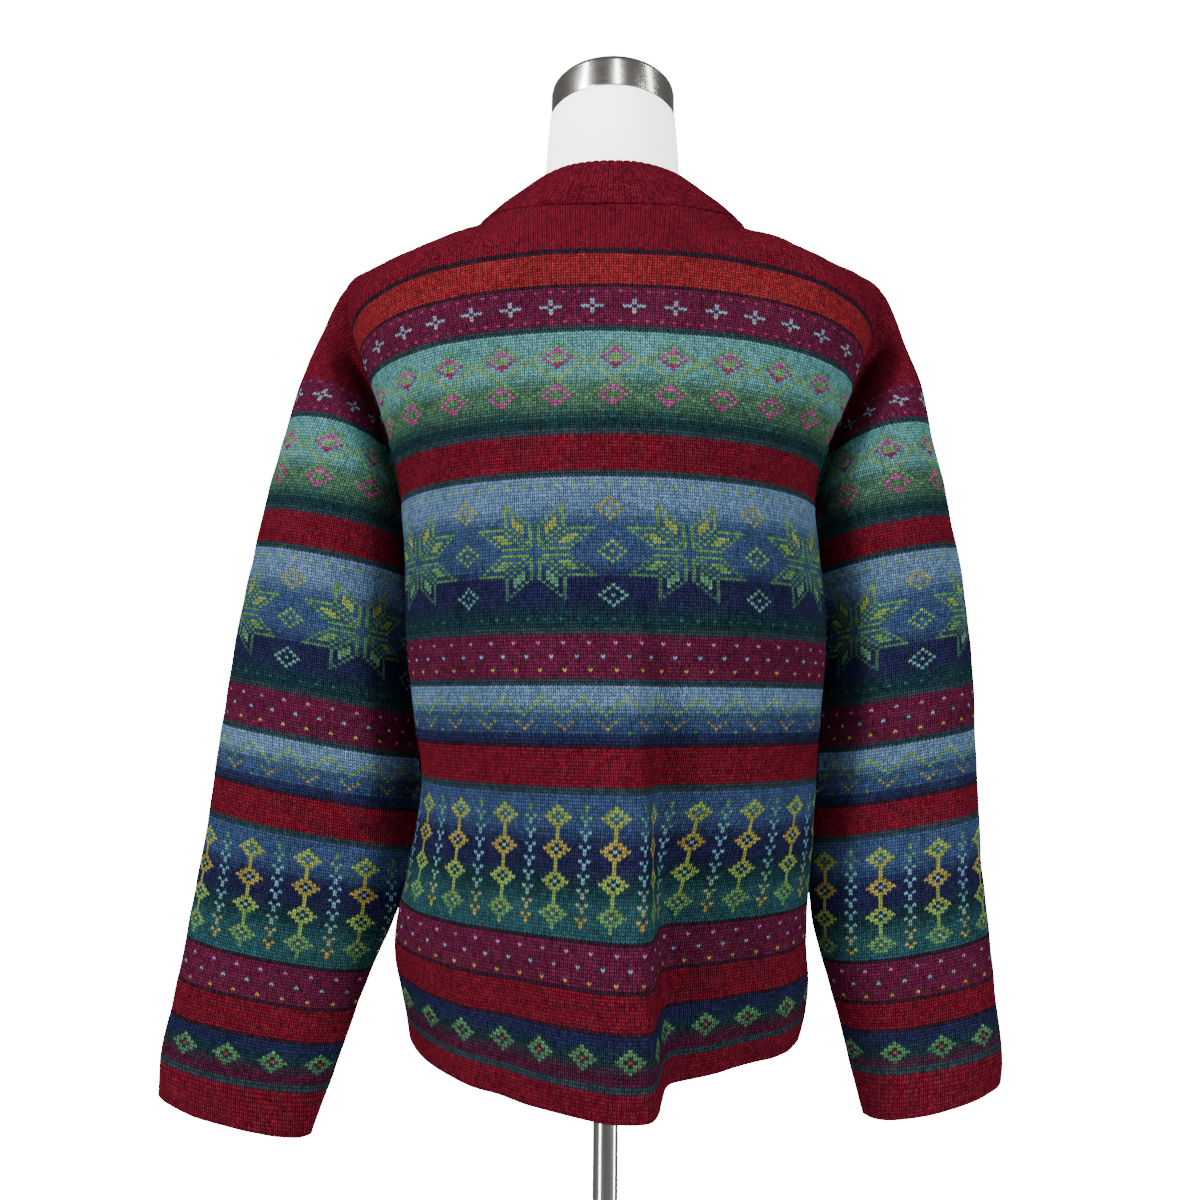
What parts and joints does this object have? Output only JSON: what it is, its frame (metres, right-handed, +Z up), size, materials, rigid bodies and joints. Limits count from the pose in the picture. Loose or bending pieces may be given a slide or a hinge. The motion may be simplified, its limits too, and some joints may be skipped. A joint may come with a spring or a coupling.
{
  "type": "cardigan on limbless dress form",
  "caption": "Long-sleeved round-neck patterned knit cardigan worn by a limbless dress form on a pole and round foot.",
  "frame": {"origin": "centre of the stand's flat underside, on the floor", "axes": "+Z up, -Y the garment's front, +X the wearer's left"},
  "size_m": [0.6434, 0.38, 1.536],
  "materials": {
    "patterned_wool": "fine stranded wool knit, matt and slightly fuzzy",
    "red_wool": "plain dark red wool stocking stitch, matt and slightly fuzzy",
    "plum_button": "plum-brown horn look, semi-matt",
    "form_jersey": "white jersey cover",
    "nickel": "brushed nickel",
    "steel": "polished steel tube and brushed foot"
  },
  "bodies": {
    "root": {"back": "patterned_wool", "front_left": "patterned_wool", "front_right": "patterned_wool", "sleeve_left": "patterned_wool", "sleeve_right": "patterned_wool", "side_left": "red_wool", "side_right": "red_wool", "neckband": "red_wool", "band_left": "red_wool", "band_right": "red_wool", "button_1": "plum_button", "button_2": "plum_button", "button_3": "plum_button", "button_4": "plum_button", "button_5": "plum_button", "button_6": "plum_button", "button_7": "plum_button", "torso": "form_jersey", "neck_cap": "nickel", "pole": "steel", "stand_base": "steel"}
  },
  "joints": []
}
